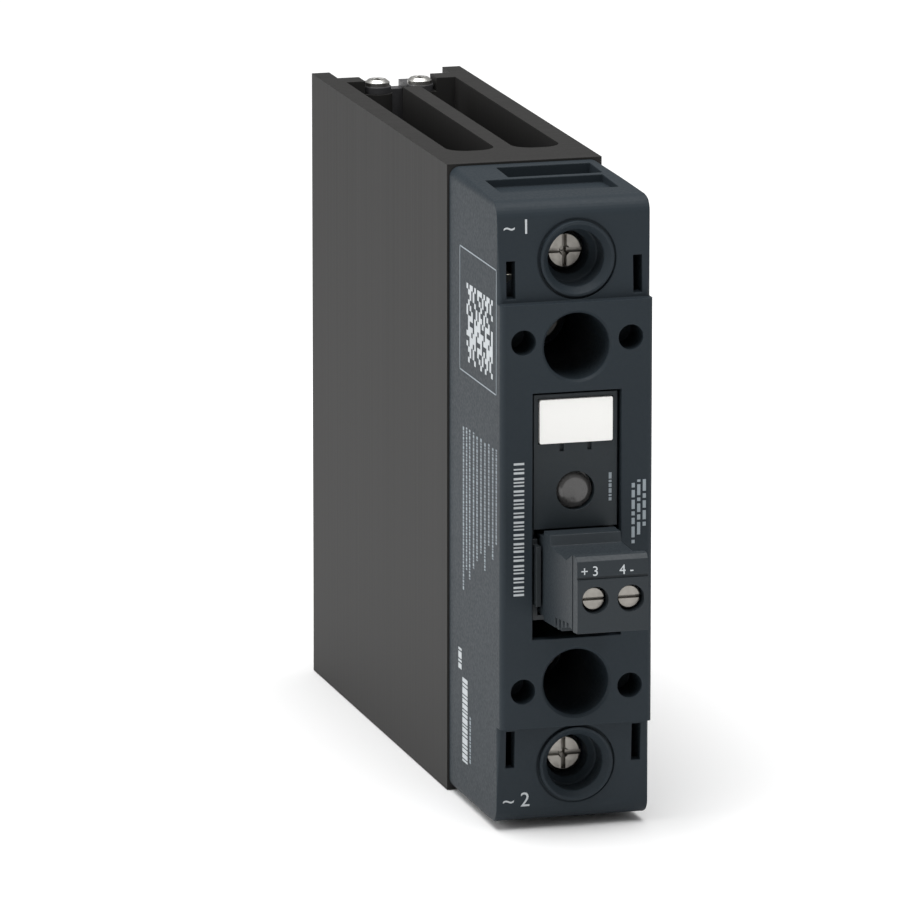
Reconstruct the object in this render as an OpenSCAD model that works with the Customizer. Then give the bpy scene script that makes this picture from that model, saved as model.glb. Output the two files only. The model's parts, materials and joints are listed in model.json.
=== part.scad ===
// Slim solid state relay on its own heatsink, for a 35 mm mounting rail.
// +Z is up, the front with the screws faces -Y, and the rail is behind it.
// The origin is the middle of the footprint, at the bottom face.
// Each sub-part is drawn from the seam where the housing meets the heatsink, so there
// negative y is in front of the seam and positive y is behind it.

/* [Body] */
// Width of the heatsink, which is the width the relay takes on the rail
body_w = 22.5; // [22.5:0.5:28]
// Height of the heatsink
body_h = 90; // [86:1:110]
// Depth of the heatsink behind the seam
sink_depth = 74; // [50:1:95]
// Depth of the housing in front of the seam, at its raised middle face
cover_depth = 26.6; // [25:0.1:34]
// How far each housing side stands in from the heatsink side
cover_inset = 0.3; // [0.1:0.05:0.6]
// How far the two terminal faces stand back from the middle face
face_step = 1.4; // [0.8:0.1:2]
// Height of each terminal face, from the end of the body to the step
face_h = 15; // [14.4:0.1:16]

/* [Heatsink] */
// Thickness of the base that the relay is screwed to
sink_base = 9; // [8.6:0.1:12]
// Thickness of the two outer walls
sink_wall = 3; // [2:0.1:3.4]
// Thickness of the middle rib
sink_rib = 2.6; // [1.6:0.1:4]
// Radius of the front corners of the air channels
channel_r = 2.8; // [1:0.1:3]
// Width of the two legs that meet the rail
leg_w = 2.65; // [2:0.05:2.8]
// Depth of the space behind the rear flanges, where the rail adapter sits
adapter_space = 4.8; // [4.8:0.1:6]
// Thickness of the rear flanges
flange_t = 3.6; // [2.6:0.1:4.2]
// Outer radius of the round screw ports
port_r = 2.2; // [2.1:0.1:2.6]
// Distance of each screw port from the middle
port_x = 3.2; // [3:0.1:3.6]

/* [Rail] */
// Width of the mounting rail
rail_w = 35; // [35:1:40]
// Thickness of the mounting rail
rail_t = 1; // [1:0.1:1.5]
// How far the hooks reach behind the heatsink
hook_reach = 3.6; // [3.4:0.1:5]
// How far each hook laps over the rail
hook_lap = 1.6; // [1:0.1:2]
// Width of the hooks
hook_w = 16; // [12:0.5:16.5]
// Thickness of the adapter plate
adapter_t = 2; // [1.5:0.1:2.2]
// Travel of the sliding latch
latch_travel = 4; // [3:0.1:4.2]

/* [Housing] */
// Thickness of the housing's sides
wall = 1.2; // [0.8:0.1:1.6]
// Thickness of the housing's front
front_wall = 1.6; // [1.2:0.1:2]
// Thickness of the housing's top and bottom walls
end_wall = 1.7; // [1.4:0.1:2.2]
// Radius of the front edges
edge_r = 0.8; // [0.3:0.1:1]
// Radius of the long top and bottom edges
long_edge_r = 1.5; // [0.6:0.1:2]
// Radius of the nose at the top and bottom of the front
nose_r = 2.5; // [1:0.1:3]

/* [Fixing screws] */
// Distance between the two screws that hold the relay to the heatsink
fixing_spacing = 47.6; // [46:0.1:48]
// Radius of the wells that lead to them
well_r = 4.7; // [4.4:0.1:4.8]
// Radius of the fixing screws' shanks
fixing_r = 1.95; // [1.6:0.05:2.2]

/* [Output terminals] */
// Distance of each clamp screw from the end of the body
clamp_z = 9.2; // [8.8:0.1:9.5]
// Offset of the clamp screws from the middle
clamp_x = 0.4; // [0:0.1:0.8]
// Radius of a clamp screw's shank
clamp_screw_r = 2; // [1.6:0.05:2.1]
// Thread pitch of a clamp screw
clamp_pitch = 0.7; // [0.6:0.05:0.75]
// Turns from open to closed
clamp_turns = 6; // [4:0.5:6]
// Radius of a clamp screw's head
clamp_head_r = 2.75; // [2.5:0.05:2.85]
// Height of a clamp screw's head
clamp_head_h = 2.2; // [1.8:0.1:2.4]
// Opening for the wire, from the busbar to the back of the cage
wire_gap = 4.8; // [4.5:0.1:5]
// Width of the cage
cage_w = 10; // [8:0.1:10]
// Height of the cage
cage_h = 8; // [6:0.1:8.4]
// Thickness of the cage's sides and back
cage_wall = 1; // [0.8:0.1:1.2]
// Thickness of the cage's threaded front
cage_nut = 2.2; // [1.6:0.1:2.4]
// Thickness of the busbars
busbar_t = 1.4; // [1:0.1:1.6]
// Radius of the mouth round a clamp screw
mouth_r = 4.05; // [3.7:0.05:4.2]
// Radius of the raised collar round that mouth
collar_r = 5.25; // [4.9:0.05:5.4]

/* [Front insert] */
// Half width of the window in the middle of the front
window_x = 6.4; // [6.4:0.1:6.8]
// Lowest edge of the window, below the middle of the body
window_below = 17.4; // [17:0.1:17.4]
// Highest edge of the window, above the middle of the body
window_above = 17.5; // [16:0.1:17.6]
// Lowest edge of the insert, below the middle of the body
insert_below = 1.9; // [1:0.1:2]
// Thickness of the insert
insert_t = 1.6; // [1.4:0.1:2]
// How far the insert lies below the middle face
insert_sink = 0.8; // [0.4:0.1:1]
// Width of the marker tag
tag_w = 10.5; // [9:0.1:11]
// Height of the marker tag
tag_h = 6.2; // [5:0.1:6.6]
// Thickness of the marker tag
tag_t = 1.1; // [0.9:0.1:1.2]
// Radius of the status lens
lens_r = 2.5; // [2:0.05:2.8]
// Height of the status lens above the middle of the body
lens_above = 3.3; // [2:0.1:4]

/* [Input plug] */
// Distance between the plug's two poles
pole_pitch = 5.08; // [5:0.04:5.08]
// Distance of the plug's screws below the middle of the body
plug_below = 7.9; // [7.7:0.1:8.1]
// How far the plug stands in front of the middle face
plug_reach = 17.8; // [17.4:0.1:22]
// How deep the plug goes into its header
plug_depth = 9.9; // [8:0.1:10]
// Radius of a plug screw's shank
plug_screw_r = 1.2; // [0.9:0.05:1.3]
// Thread pitch of a plug screw
plug_pitch = 0.5; // [0.4:0.05:0.5]
// Turns of a plug screw from open to closed
plug_turns = 5; // [3:0.5:5]
// Radius of a plug screw's head
plug_head_r = 1.7; // [1.4:0.05:1.7]
// Radius of the holes for the input wires
input_wire_r = 1.3; // [1:0.05:1.3]

/* [Hidden] */
$fn = 64;

eps = 0.01;
fit = 0.05;           // clearance of a thread or a pin in its hole
slip = 0.2;           // clearance of a piece that drops into a pocket
gap = 0.3;            // clearance between pieces that move past each other

// Depths along Y, from the seam
plug_front = -cover_depth - plug_reach;
rail_back = sink_depth + hook_reach;
seam_y = -(rail_back + plug_front) / 2;
terminal_face = -cover_depth + face_step;
nose_face = terminal_face + 0.6;

// Housing
cover_x = body_w / 2 - cover_inset;
inner_x = cover_x - wall;
cover_low = cover_inset;
cover_high = body_h - cover_inset;
nose_draft = 0.7;     // fall of the end walls from the seam to the nose
seam_gap = 0.2;
floor_t = 1;
floor_front = -seam_gap - floor_t;
inner_front = -cover_depth + front_wall;

// Stack on the heatsink
pad_t = 0.33;
plate_t = 2.65;
plate_front = -pad_t - plate_t;
plate_x = inner_x - gap;
plate_low = face_h + 0.5;
well_floor_t = 1.2;
well_floor = plate_front - well_floor_t;
well_wall = 1;
fixing_z = [(body_h - fixing_spacing) / 2, (body_h + fixing_spacing) / 2];
fixing_head_r = 3.8;
fixing_head_h = 2.6;
fixing_depth = 7.6;
chip_t = 0.4;
substrate_t = 0.75;
substrate_front = plate_front - substrate_t;
board_back = -12;
board_t = 1.6;
board_front = board_back - board_t;
board_low = fixing_z[0] + well_r + well_wall + gap;
board_high = fixing_z[1] - well_r - well_wall - gap;
substrate_z = [board_low + 4, board_high - 4];

// Output clamps: the screw turns in place and draws the cage forwards
cage_back = floor_front - slip;
busbar_back = cage_back - cage_wall - wire_gap;
busbar_front = busbar_back - busbar_t;
nut_back = busbar_front - 0.5;
nut_front = nut_back - cage_nut;
clamp_travel = clamp_turns * clamp_pitch;
shelf_back = nut_front - clamp_travel - slip;
shelf_t = 0.8;
shelf_front = shelf_back - shelf_t;
clamp_head_back = shelf_front - fit;
clamp_head_front = clamp_head_back - clamp_head_h;
mouth_back = terminal_face + 4;
mouth_flare = 0.85;   // countersink round the mouth
groove_depth = 0.7;   // ring groove round the collar, from the deepest point of the tilted face
riser_x = [clamp_x + cage_w / 2 + 0.9, inner_x - gap];

// Window and what it holds
window_low = body_h / 2 - window_below;
window_high = body_h / 2 + window_above;
insert_low = body_h / 2 - insert_below;
lens_z = body_h / 2 + lens_above;
insert_front = -cover_depth + insert_sink;
insert_gap = 0.4;     // open joint round the insert
insert_back = insert_front + insert_t;
tag_z = [window_high - 1.1 - tag_h, window_high - 1.1];

// Header and plug
plug_z = body_h / 2 - plug_below;
plug_w = 2 * pole_pitch;
pole_x = [-pole_pitch / 2, pole_pitch / 2];
header_front = -cover_depth - 0.8;
plug_nose = header_front + plug_depth;
plug_low = plug_z - 5.9;
plug_high = plug_z + 5.2;
socket_x = plug_w / 2 + gap;
header_wall = 0.7;
header_x = socket_x + header_wall;
header_low = plug_low - gap - header_wall;
header_high = plug_high + gap + header_wall;
header_base = board_front - 2.6;
pin_w = 1;
plug_skin = 0.85;
plug_head_h = 1.6;
plug_head_front = plug_front + 1.1;
plug_head_back = plug_head_front + plug_head_h;
plug_shelf_front = plug_head_back + fit;
plug_shelf_back = plug_shelf_front + 0.8;
plug_travel = plug_turns * plug_pitch;
plug_nut_t = 1.6;
plug_nut_front = plug_shelf_back + slip + plug_travel;
plug_nut_back = plug_nut_front + plug_nut_t;
tongue_t = 0.8;
tongue_front = plug_nut_back + 0.4;
tongue_back = tongue_front + tongue_t;
plug_wire_gap = 3;
plug_cage_back = tongue_back + plug_wire_gap;
plug_cage_t = 0.8;
plug_cage_w = 3.8;
plug_cage_h = 5.4;
chamber_w = plug_cage_w + 0.4;
chamber_back = plug_cage_back + plug_cage_t + slip;
chamber_low = plug_z - plug_cage_h / 2 - 0.9;
chamber_high = plug_z + plug_cage_h / 2 + 1.2;

// Rail adapter
flange_back = sink_depth - adapter_space;
adapter_front = flange_back + slip;
adapter_back = adapter_front + adapter_t;
channel_x = body_w / 2 - leg_w;
port_y = flange_back - port_r;
port_hole_r = 1.15;
port_slit = 0.8;
port_drop = 2;        // the ports are cut back to make room for tab and screw head
port_head_r = 1.8;
rib_gap = 5;          // the rib stops this far in front of the ports
tab_t = 1;
tab_r = port_r - slip;
rail_low = (body_h - rail_w) / 2;
rail_high = (body_h + rail_w) / 2;
lip_front = sink_depth + rail_t + 0.4;
hook_h = 3.6;
guide_x = 5.4;
guide_w = 2;
guide_lip = 1;
guide_low = 3;
latch_front = adapter_back + slip;
latch_x = guide_x - gap;
latch_tail = 0.6 + latch_travel;
latch_hook_low = rail_low - gap - hook_h;
guide_high = latch_hook_low - latch_travel - gap;
peg_low = latch_tail + 4;
peg_h = 1.2;
spring_low = peg_low + peg_h;
spring_high = guide_high - 0.5;
spring_coils = 8;
spring_wire_r = 0.2;
spring_r = 0.75;
spring_y = latch_front + spring_r + spring_wire_r + 0.05;

// Colours
anodised = [0.33, 0.33, 0.33];
slate = [0.26, 0.29, 0.31];
dark_slate = [0.2, 0.22, 0.24];
zinc = [0.72, 0.72, 0.7];
copper = [0.72, 0.45, 0.3];

// ---- Helpers ----

// Everything below is drawn from the seam
module at_seam() translate([0, seam_y, 0]) children();

// A box between two x, two y and two z values
module block(x, y, z)
    translate([x[0], y[0], z[0]]) cube([x[1] - x[0], y[1] - y[0], z[1] - z[0]]);

// A round bar along Y from y[0] to y[1], centred on x and z
module bar_y(r, y, x = 0, z = 0)
    translate([x, y[0], z]) rotate([-90, 0, 0]) cylinder(r = r, h = y[1] - y[0]);

// A cone along Y: r[0] at y[0], r[1] at y[1]
module cone_y(r, y, x = 0, z = 0)
    translate([x, y[0], z]) rotate([-90, 0, 0]) cylinder(r1 = r[0], r2 = r[1], h = y[1] - y[0]);

// The same thing at the top end and, mirrored, at the bottom end
module both_ends() {
    children();
    lower_end() children();
}

module lower_end() translate([0, 0, body_h]) mirror([0, 0, 1]) children();

// The same thing on the right and, mirrored, on the left
module both_sides() {
    children();
    mirror([1, 0, 0]) children();
}

// A rectangle from a to b whose two corners at the low y side have radius r
module low_rounded(a, b, r) {
    translate([a[0] + r, a[1]]) square([b[0] - a[0] - 2 * r, b[1] - a[1]]);
    translate([a[0], a[1] + r]) square([b[0] - a[0], b[1] - a[1] - r]);
    for (x = [a[0] + r, b[0] - r]) translate([x, a[1] + r]) circle(r = r);
}

// A rectangle from a to b with radius r on all four corners
module rounded(a, b, r) {
    translate([a[0] + r, a[1]]) square([b[0] - a[0] - 2 * r, b[1] - a[1]]);
    translate([a[0], a[1] + r]) square([b[0] - a[0], b[1] - a[1] - 2 * r]);
    for (x = [a[0] + r, b[0] - r], y = [a[1] + r, b[1] - r]) translate([x, y]) circle(r = r);
}

// A flat shape in x and z, given thickness along Y
module plate_xz(y) translate([0, y[1], 0]) rotate([90, 0, 0]) linear_extrude(y[1] - y[0]) children();

// An outline in y and z, extruded along X from -x to x
module across(x, points) translate([-x, 0, 0]) rotate([90, 0, 90]) linear_extrude(2 * x) polygon(points);

// Points of an arc in the plane of an outline
function arc(c, r, from, to, n = 8) =
    [for (i = [0:n]) c + r * [cos(from + (to - from) * i / n), sin(from + (to - from) * i / n)]];

// ---- Heatsink and rail adapter ----

// One air channel, on the right of the rib
module channel() {
    low = [sink_rib / 2, sink_base];
    high = [body_w / 2 - sink_wall, flange_back - flange_t];
    low_rounded(low, high, channel_r);
}

// The rib stops short of the rear flanges, and each flange ends in a round screw port
// with the slit that an extruded port has
module sink_outline() difference() {
    union() {
        difference() {
            translate([-body_w / 2, 0]) square([body_w, sink_depth]);
            both_sides() channel();
            translate([-sink_rib / 2 - eps, port_y - port_r - rib_gap])
                square([sink_rib + 2 * eps, rib_gap + port_r + flange_t]);
            translate([-port_x, port_y - port_r - eps]) square([2 * port_x, 2 * port_r + 2 * eps]);
            translate([-channel_x, flange_back]) square([2 * channel_x, adapter_space + eps]);
        }
        for (x = [-port_x, port_x]) translate([x, port_y]) circle(r = port_r);
    }
    for (x = [-port_x, port_x]) translate([x, port_y]) circle(r = port_hole_r);
    translate([-port_x, port_y - port_slit / 2]) square([2 * port_x, port_slit]);
}

module heatsink() color(anodised) at_seam() difference() {
    linear_extrude(body_h) sink_outline();
    both_ends() block([-port_x - port_r, port_x + port_r],
        [port_y - port_r - eps, flange_back + eps], [body_h - port_drop, body_h + eps]);
    for (z = fixing_z) bar_y(fixing_r + fit, [-eps, fixing_depth + 0.6], z = z);
}

// One tab that a screw holds down on its port
module adapter_tab() {
    z = [body_h - port_drop, body_h - port_drop + tab_t];
    translate([port_x, port_y, z[0]]) cylinder(r = tab_r, h = tab_t);
    block([port_x - tab_r, port_x + tab_r], [port_y, adapter_back], z);
    block([port_x - tab_r, port_x + tab_r], [adapter_front, adapter_back], [z[0] - 2, z[1]]);
}

module rail_adapter() color(dark_slate) at_seam() difference() {
    union() {
        block([-channel_x + slip, channel_x - slip], [adapter_front, adapter_back],
            [port_drop, body_h - port_drop]);
        both_ends() both_sides() adapter_tab();
        // fixed hook, above the rail
        block([-hook_w / 2, hook_w / 2], [adapter_back - eps, rail_back],
            [rail_high + gap, rail_high + gap + hook_h]);
        block([-hook_w / 2, hook_w / 2], [lip_front, rail_back],
            [rail_high - hook_lap, rail_high + gap + eps]);
        // guides of the sliding latch
        both_sides() block([guide_x, guide_x + guide_w], [adapter_back - eps, sink_depth - 0.1],
            [guide_low, guide_high]);
        both_sides() block([guide_x - guide_lip, guide_x + eps], [sink_depth - 0.9, sink_depth - 0.1],
            [guide_low, guide_high]);
        block([-1.2, 1.2], [adapter_back - eps, latch_front + 1.7], [peg_low, spring_low]);
    }
    both_ends() both_sides() translate([port_x, port_y, body_h - port_drop - eps])
        cylinder(r = port_hole_r + 0.2, h = tab_t + 2 * eps);
}

// The latch: a stem between the guides, a window for the spring, a hook and a slot for a tool
module rail_latch() color(slate) at_seam() {
    stem_back = sink_depth - 0.9 - slip;
    difference() {
        union() {
            block([-latch_x, latch_x], [latch_front, stem_back], [latch_tail, latch_hook_low + eps]);
            block([-guide_x + guide_lip + gap, guide_x - guide_lip - gap], [stem_back - eps, sink_depth],
                [latch_tail, latch_hook_low + eps]);
            block([-hook_w / 2 + 1.5, hook_w / 2 - 1.5], [latch_front, rail_back],
                [latch_hook_low, rail_low - gap]);
            block([-hook_w / 2 + 1.5, hook_w / 2 - 1.5], [lip_front, rail_back],
                [rail_low - gap - eps, rail_low + hook_lap]);
        }
        block([-1.5, 1.5], [latch_front - eps, sink_depth + eps], [peg_low - 0.4, spring_high]);
        block([-2.5, 2.5], [latch_front - eps, sink_depth + eps], [latch_tail + 1, latch_tail + 2.4]);
    }
}

// Rings of the coil spring's surface, computed along its helix
module latch_spring() color(zinc) at_seam() {
    sides = 6;
    steps = 12;
    rings = spring_coils * steps;
    rise = spring_high - spring_low - 2 * spring_wire_r - 0.04;
    points = [for (i = [0:rings], k = [0:sides - 1])
        let (turn = 360 * i / steps, around = 360 * k / sides, reach = spring_r + spring_wire_r * cos(around))
        [reach * cos(turn), spring_y + reach * sin(turn),
            spring_low + spring_wire_r + 0.02 + rise * i / rings + spring_wire_r * sin(around)]];
    skin = [for (i = [0:rings - 1], k = [0:sides - 1], half = [0, 1])
        let (a = i * sides, b = a + sides, next = (k + 1) % sides)
        half == 0 ? [a + k, a + next, b + next] : [a + k, b + next, b + k]];
    ends = [[for (k = [sides - 1:-1:0]) k], [for (k = [0:sides - 1]) rings * sides + k]];
    polyhedron(points = points, faces = concat(skin, ends), convexity = 10);
}

// One pan head screw in a port, with a cross recess
module port_screw() {
    head_low = body_h - port_drop + tab_t;
    translate([port_x, port_y, 0]) difference() {
        union() {
            translate([0, 0, head_low - 9]) cylinder(r = port_hole_r - fit, h = 9 + eps);
            translate([0, 0, head_low]) cylinder(r = port_head_r, h = 0.6);
            translate([0, 0, head_low + 0.6 - eps]) cylinder(r1 = port_head_r, r2 = port_head_r - 0.5, h = 0.4);
        }
        for (a = [0, 90]) rotate([0, 0, a]) translate([-1, -0.25, head_low + 0.35]) cube([2, 0.5, 1]);
    }
}

module adapter_screws() color(zinc) at_seam() both_ends() both_sides() port_screw();

// ---- Power stage ----

module thermal_pad() color([0.75, 0.75, 0.72]) at_seam() difference() {
    block([-plate_x, plate_x], [-pad_t, 0], [plate_low, body_h - plate_low]);
    for (z = fixing_z) bar_y(fixing_r + 0.3, [-pad_t - eps, eps], z = z);
}

module base_plate() color([0.8, 0.62, 0.5]) at_seam() difference() {
    block([-plate_x, plate_x], [plate_front, -pad_t], [plate_low, body_h - plate_low]);
    for (z = fixing_z) bar_y(fixing_r + 0.3, [plate_front - eps, eps], z = z);
}

module ceramic_substrate() color([0.93, 0.92, 0.88]) at_seam()
    block([-8.2, 8.2], [substrate_front, plate_front], substrate_z);

module thyristor_chips() color([0.35, 0.37, 0.42]) at_seam()
    for (z = [body_h / 2 - 6.5, body_h / 2 + 6.5])
        block([-4, 4], [substrate_front - chip_t, substrate_front], [z - 4, z + 4]);

// A copper strip: tongue in the clamp, riser past the well, foot on the substrate
module busbar() {
    y = [busbar_front, busbar_back];
    bend_z = body_h - clamp_z - cage_h / 2 - gap;
    foot_z = substrate_z[1] - 0.5;
    block([clamp_x - cage_w / 2 + cage_wall + gap, clamp_x + cage_w / 2 - cage_wall - gap], y,
        [bend_z - eps, body_h - clamp_z + cage_h / 2 + 0.8]);
    block([clamp_x - cage_w / 2 + cage_wall + gap, riser_x[1]], y, [bend_z - busbar_t, bend_z]);
    block(riser_x, y, [foot_z - busbar_t, bend_z]);
    block(riser_x, [busbar_front, substrate_front], [foot_z - busbar_t, foot_z]);
    block([riser_x[1] - 6, riser_x[1]], [substrate_front - 1, substrate_front],
        [foot_z - busbar_t - 1.2, foot_z]);
}

module line_busbar() color(copper) at_seam() busbar();

module load_busbar() color(copper) at_seam() lower_end() busbar();

module fixing_screws() color(zinc) at_seam() for (z = fixing_z) difference() {
    union() {
        bar_y(fixing_r, [well_floor - eps, fixing_depth], z = z);
        bar_y(fixing_head_r, [well_floor - fixing_head_h + 0.6, well_floor], z = z);
        cone_y([fixing_head_r - 0.9, fixing_head_r],
            [well_floor - fixing_head_h, well_floor - fixing_head_h + 0.6 + eps], z = z);
    }
    for (a = [0, 90]) translate([0, 0, z]) rotate([0, a, 0])
        block([-2.2, 2.2], [well_floor - fixing_head_h - eps, well_floor - 1], [-0.4, 0.4]);
}

// ---- Housing ----

// Side outline: drafted end walls, a round nose and a slightly tilted terminal face at each end
function nose(flip) =
    let (z = function (h) flip ? body_h - h : h,
        low = cover_low + nose_draft,
        corner = arc([nose_face + nose_r, low + nose_r], nose_r, 265, 183))
    [for (p = concat([[-seam_gap, cover_low]], corner, [[terminal_face, face_h]])) [p[0], z(p[1])]];

function reversed(list) = [for (i = [len(list) - 1:-1:0]) list[i]];

side_outline = concat(nose(false), reversed(nose(true)));

module housing_body() intersection() {
    union() {
        intersection() {
            across(cover_x, side_outline);
            translate([0, 0, -eps]) linear_extrude(body_h + 2 * eps)
                low_rounded([-cover_x, terminal_face], [cover_x, 0], edge_r);
        }
        // raised middle face
        translate([0, 0, face_h]) linear_extrude(body_h - 2 * face_h)
            low_rounded([-cover_x, -cover_depth], [cover_x, -seam_gap], edge_r);
    }
    plate_xz([-cover_depth - 1, 0]) rounded([-cover_x, cover_low], [cover_x, cover_high], long_edge_r);
}

// Hollow behind the front, open towards the heatsink
module housing_hollow() {
    block([-inner_x, inner_x], [terminal_face + front_wall + 0.6, eps],
        [cover_low + end_wall, cover_high - end_wall]);
    block([-inner_x, inner_x], [inner_front, eps], [face_h + 1, body_h - face_h - 1]);
}

// What stands inside at each end: the screw shaft, the shelf and the walls that guide the cage
module clamp_shaft() {
    z = body_h - clamp_z;
    bar_y(clamp_head_r + 1.5, [terminal_face + front_wall, shelf_back], x = clamp_x, z = z);
    bar_y(collar_r, [terminal_face + 0.3, mouth_back + 0.8], x = clamp_x, z = z);
    block([-inner_x - eps, inner_x + eps], [floor_front, -seam_gap],
        [body_h - face_h + gap, cover_high - end_wall + eps]);
    left = clamp_x - cage_w / 2 - gap;
    right = clamp_x + cage_w / 2 + gap;
    guide_z = [z - cage_h / 2, cover_high - end_wall + eps];
    block([left - 1, left], [shelf_back, floor_front + eps], guide_z);
    block([right, right + 0.5], [shelf_back, busbar_front - gap], guide_z);
    block([left - 1, right + 0.5], [shelf_front, shelf_back], guide_z);
}

// The raised collar stands just proud of the tilted face, in a shallow ring groove
module clamp_collar() {
    z = body_h - clamp_z;
    bar_y(collar_r, [terminal_face - 0.1, terminal_face + 1], x = clamp_x, z = z);
}

module collar_groove() {
    z = body_h - clamp_z;
    difference() {
        bar_y(collar_r + 0.4, [terminal_face - 1, terminal_face + groove_depth], x = clamp_x, z = z);
        bar_y(collar_r, [terminal_face - 2, terminal_face + 1], x = clamp_x, z = z);
    }
}

// Everything that is bored or cut at each end of the housing
module end_cuts() {
    z = body_h - clamp_z;
    bar_y(mouth_r, [terminal_face - 1, mouth_back], x = clamp_x, z = z);
    cone_y([mouth_r + mouth_flare, mouth_r], [terminal_face - 0.1 - eps, terminal_face + mouth_flare],
        x = clamp_x, z = z);
    bar_y(clamp_head_r + gap, [mouth_back - eps, shelf_front], x = clamp_x, z = z);
    cone_y([mouth_r - 0.2, clamp_head_r + gap], [mouth_back - eps, mouth_back + 0.9], x = clamp_x, z = z);
    bar_y(clamp_screw_r + 0.2, [shelf_front - eps, shelf_back + eps], x = clamp_x, z = z);
    // slots for a clip-on cover
    for (x = [-1, 1]) block([x * 9.1 - 0.65, x * 9.1 + 0.65], [terminal_face - 1, terminal_face + 3],
        [body_h - face_h + 0.6, body_h - face_h + 5.9]);
    // wire entry through the end wall, and the shallow step in front of it
    block([clamp_x - cage_w / 2 - 0.2, inner_x - 0.9], [busbar_front, floor_front - 1],
        [cover_high - end_wall - nose_draft - 1, body_h]);
    block([-8.5, 8.5], [-17.8, busbar_front - 1.1], [cover_high - nose_draft - 0.75, body_h]);
}

module well(z) {
    bar_y(well_r + well_wall, [-cover_depth + eps, plate_front], z = z);
    both_sides() bar_y(2.6, [-cover_depth + eps, -cover_depth + 6.8], x = 7.7, z = z + accessory_shift(z));
}

// The small accessory holes stand 0.9 mm off the wells' centre line, away from each end
function accessory_shift(z) = z > body_h / 2 ? 0.9 : -0.9;

module well_cuts(z) {
    bar_y(well_r, [-cover_depth - 1, well_floor], z = z);
    cone_y([well_r + 0.4, well_r], [-cover_depth - eps, -cover_depth + 0.4], z = z);
    bar_y(fixing_r + 0.3, [well_floor - eps, plate_front + eps], z = z);
    both_sides() bar_y(1.78, [-cover_depth - 1, -cover_depth + 6], x = 7.7, z = z + accessory_shift(z));
}

module housing() color(slate) at_seam() difference() {
    union() {
        difference() {
            housing_body();
            housing_hollow();
            both_ends() collar_groove();
        }
        intersection() {
            union() {
                both_ends() clamp_shaft();
                for (z = fixing_z) well(z);
            }
            housing_body();
        }
        both_ends() clamp_collar();
        // ledge behind the insert, and four posts that hold the board
        difference() {
            block([-window_x - 0.8, window_x + 0.8], [insert_back, insert_back + 1.2],
                [insert_low + 1, window_high + 0.8]);
            block([-window_x + 1, window_x - 1], [insert_back - 1, insert_back + 2],
                [insert_low, window_high - 1]);
        }
        for (x = [-1, 1], z = [board_low + 1.6, board_high - 1.6])
            bar_y(1.3, [inner_front - eps, board_front], x = x * (inner_x - 1.4), z = z);
    }
    both_ends() end_cuts();
    for (z = fixing_z) well_cuts(z);
    block([-window_x, window_x], [-cover_depth - 1, insert_back], [window_low, window_high]);
    block([-window_x, window_x], [insert_back - eps, inner_front + 1],
        [window_low, insert_low + 0.9]);
}

// ---- Front insert, tag and status light ----

module front_insert() color(dark_slate) at_seam() difference() {
    block([-window_x + insert_gap, window_x - insert_gap], [insert_front, insert_back],
        [insert_low, window_high - insert_gap]);
    block([-tag_w / 2 - 0.1, tag_w / 2 + 0.1], [insert_front - 1, insert_front + 0.75],
        [tag_z[0] - 0.1, tag_z[1] + 0.1]);
    // two notches under the tag, to lever it out
    for (x = [-2, 2]) block([x - 0.3, x + 0.3], [insert_front - 1, insert_front + 0.5],
        [tag_z[0] - 1.2, tag_z[0]]);
    bar_y(lens_r + 0.25, [insert_front - 1, insert_back + 1], z = lens_z);
}

module marker_tag() color([0.93, 0.93, 0.91]) at_seam()
    plate_xz([insert_front + 0.75 - tag_t, insert_front + 0.75])
        rounded([-tag_w / 2, tag_z[0]], [tag_w / 2, tag_z[1]], 0.25);

// Light guide: a lens with a rim behind the insert, on a stem that reaches back to the diode
module status_lens() color([0.5, 0.5, 0.5]) at_seam() {
    bar_y(lens_r, [insert_front + 0.7, insert_back + 0.6], z = lens_z);
    cone_y([lens_r - 0.7, lens_r], [insert_front + 0.3, insert_front + 0.7 + eps], z = lens_z);
    bar_y(lens_r + 0.7, [insert_back, insert_back + 0.6], z = lens_z);
    bar_y(1.5, [insert_back + 0.5, board_front - 4.6], z = lens_z);
}

module status_led() color([0.85, 0.87, 0.85]) at_seam() {
    bar_y(1.5, [board_front - 2.6, board_front - 0.8], z = lens_z);
    bar_y(1.75, [board_front - 0.8, board_front], z = lens_z);
    translate([0, board_front - 2.6, lens_z]) sphere(r = 1.5);
}

// ---- Control board ----

module pin_slots(y) for (x = pole_x)
    block([x - pin_w / 2 - fit, x + pin_w / 2 + fit], y, [plug_z - pin_w / 2 - fit, plug_z + pin_w / 2 + fit]);

module circuit_board() color([0.12, 0.36, 0.22]) at_seam() difference() {
    block([-inner_x + gap, inner_x - gap], [board_front, board_back], [board_low, board_high]);
    pin_slots([board_front - eps, board_back + eps]);
}

module input_header() color(dark_slate) at_seam() difference() {
    union() {
        block([-header_x, header_x], [insert_back + slip, board_front], [header_low, header_high]);
        block([-header_x, header_x], [-cover_depth + 1, insert_back + slip + eps],
            [header_low, insert_low - 1.4]);
        block([-header_x, header_x], [header_front, -cover_depth + 1 + eps], [plug_z - 4.6, plug_z + 3.9]);
    }
    block([-socket_x, socket_x], [header_front - 1, header_base], [plug_low - gap, plug_high + gap]);
    pin_slots([header_base - eps, board_front + eps]);
}

module header_pins() color(zinc) at_seam() for (x = pole_x)
    block([x - pin_w / 2, x + pin_w / 2], [header_front + 3, board_back + 1],
        [plug_z - pin_w / 2, plug_z + pin_w / 2]);

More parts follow.
